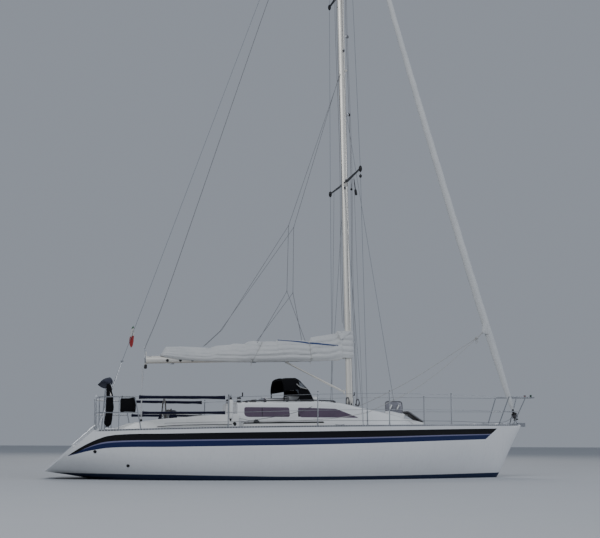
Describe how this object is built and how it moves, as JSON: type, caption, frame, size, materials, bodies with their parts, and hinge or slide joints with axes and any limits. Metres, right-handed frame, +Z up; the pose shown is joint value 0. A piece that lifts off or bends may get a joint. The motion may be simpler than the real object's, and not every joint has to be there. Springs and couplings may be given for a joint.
{
  "type": "sailing yacht",
  "caption": "Masthead-rigged cruising sailing yacht afloat, with swinging boom, flaked mainsail, furled genoa, fin keel, spade rudder, wheel steering and folded bimini.",
  "frame": {"origin": "on the still waterplane amidships, on the centreline", "axes": "+X towards the bow, +Y to port, +Z up along the height of the rig"},
  "size_m": [11.6674, 3.781, 19.41],
  "materials": {
    "hull_gelcoat": "white gelcoat with a black stripe, a lilac-grey line and a navy stripe along each side",
    "deck_gelcoat": "white moulded gelcoat with fine non-slip areas",
    "antifouling": "matt navy antifouling paint",
    "drive_alloy": "grey painted drive leg",
    "bronze": "dull bronze",
    "rail_alloy": "anodised perforated toe rail",
    "window_glass": "smoky purple acrylic",
    "washboard_acrylic": "dark smoked board",
    "hatch_acrylic": "smoked acrylic in a pale alloy rim",
    "spar_alloy": "clear anodised spar section",
    "spreader_alloy": "dark anodised",
    "sailcloth": "off-white woven sailcloth",
    "stainless": "polished stainless steel",
    "furler_black": "black drum",
    "navy_cover": "navy acrylic cover over foam",
    "winch_cover": "navy cloth cover",
    "track_black": "black anodised track",
    "rail_teak": "weathered dark teak",
    "black_canvas": "black acrylic canvas with clear vinyl panels",
    "bimini_canvas": "dark navy canvas, rolled",
    "fender_white": "white inflated vinyl with a dark cap",
    "flag_cloth": "green, white and red cloth"
  },
  "bodies": {
    "yacht": {"hull": "hull_gelcoat", "keel": "antifouling", "drive_leg": "drive_alloy", "toe_rail_starboard": "rail_alloy", "toe_rail_port": "rail_alloy", "coachroof": "deck_gelcoat", "window_aft_starboard": "window_glass", "window_forward_starboard": "window_glass", "window_aft_port": "window_glass", "window_forward_port": "window_glass", "washboard": "washboard_acrylic", "coaming_starboard": "deck_gelcoat", "coaming_port": "deck_gelcoat", "mast": "spar_alloy", "spreader_lower_starboard": "spreader_alloy", "spreader_lower_port": "spreader_alloy", "spreader_upper_starboard": "spreader_alloy", "spreader_upper_port": "spreader_alloy", "cap_shroud_starboard": "stainless", "lower_shroud_starboard": "stainless", "cap_shroud_port": "stainless", "lower_shroud_port": "stainless", "babystay": "stainless", "backstay": "stainless", "genoa_furled": "sailcloth", "furler_drum": "furler_black", "stem_fitting": "stainless", "pulpit": "stainless", "pushpit": "stainless", "lifelines_starboard": "stainless", "lifelines_port": "stainless", "lifeline_pad_upper_starboard": "navy_cover", "lifeline_pad_lower_starboard": "navy_cover", "lifeline_pad_upper_port": "navy_cover", "lifeline_pad_lower_port": "navy_cover", "steering_pedestal": "deck_gelcoat", "winch_primary_starboard": "winch_cover", "winch_halyard_starboard": "stainless", "winch_primary_port": "winch_cover", "winch_halyard_port": "stainless", "genoa_track_starboard": "track_black", "handrail_starboard": "rail_teak", "genoa_track_port": "track_black", "handrail_port": "rail_teak", "traveller": "track_black", "sprayhood": "black_canvas", "bimini_roll": "bimini_canvas", "fender": "fender_white", "ensign": "flag_cloth"},
    "boom_group": {"boom": "spar_alloy", "boom_vang": "spar_alloy", "mainsail_flaked": "sailcloth"},
    "rudder_group": {"rudder": "antifouling"},
    "wheel_group": {"steering_wheel": "stainless"},
    "propeller_group": {"propeller": "bronze"},
    "companion_slide_group": {"companion_slide": "deck_gelcoat"},
    "fore_hatch_group": {"fore_hatch_lid": "hatch_acrylic"},
    "heads_hatch_group": {"heads_hatch_lid": "hatch_acrylic"},
    "ladder_group": {"boarding_ladder": "stainless"}
  },
  "joints": [
    {"name": "boom_swing", "type": "hinge", "parent": "yacht", "child": "boom_group", "pos_m": [1.1601, 0, 2.815], "axis": [-0.0223, 0, 0.9998], "range_deg": [-75, 75]},
    {"name": "rudder_turn", "type": "hinge", "parent": "yacht", "child": "rudder_group", "pos_m": [-4.28, 0, -0.5], "axis": [0, 0, 1], "range_deg": [-35, 35]},
    {"name": "wheel_turn", "type": "hinge", "parent": "yacht", "child": "wheel_group", "pos_m": [-3.06, 0, 1.33], "axis": [1, 0, 0], "range_deg": [-260, 260]},
    {"name": "propeller_spin", "type": "hinge", "parent": "yacht", "child": "propeller_group", "pos_m": [-2.55, 0, -0.76], "axis": [1, 0, 0], "continuous": true},
    {"name": "companion_slide_move", "type": "slide", "parent": "yacht", "child": "companion_slide_group", "axis": [1, 0, 0], "range_m": [0, 0.52]},
    {"name": "fore_hatch_hinge", "type": "hinge", "parent": "yacht", "child": "fore_hatch_group", "pos_m": [3.062, 0, 1.282], "axis": [0, 1, 0], "range_deg": [-21.5, 60]},
    {"name": "heads_hatch_hinge", "type": "hinge", "parent": "yacht", "child": "heads_hatch_group", "pos_m": [2.165, -0.092, 1.548], "axis": [0.9816, 0, -0.1908], "range_deg": [0, 98]},
    {"name": "ladder_fold", "type": "hinge", "parent": "yacht", "child": "ladder_group", "pos_m": [-5.05811, 0, 0.73982], "axis": [0, -1, 0], "range_deg": [0, 178]}
  ],
  "couplings": [
    {"joint": "wheel_turn", "follows": "rudder_turn", "ratio": 7.4}
  ]
}
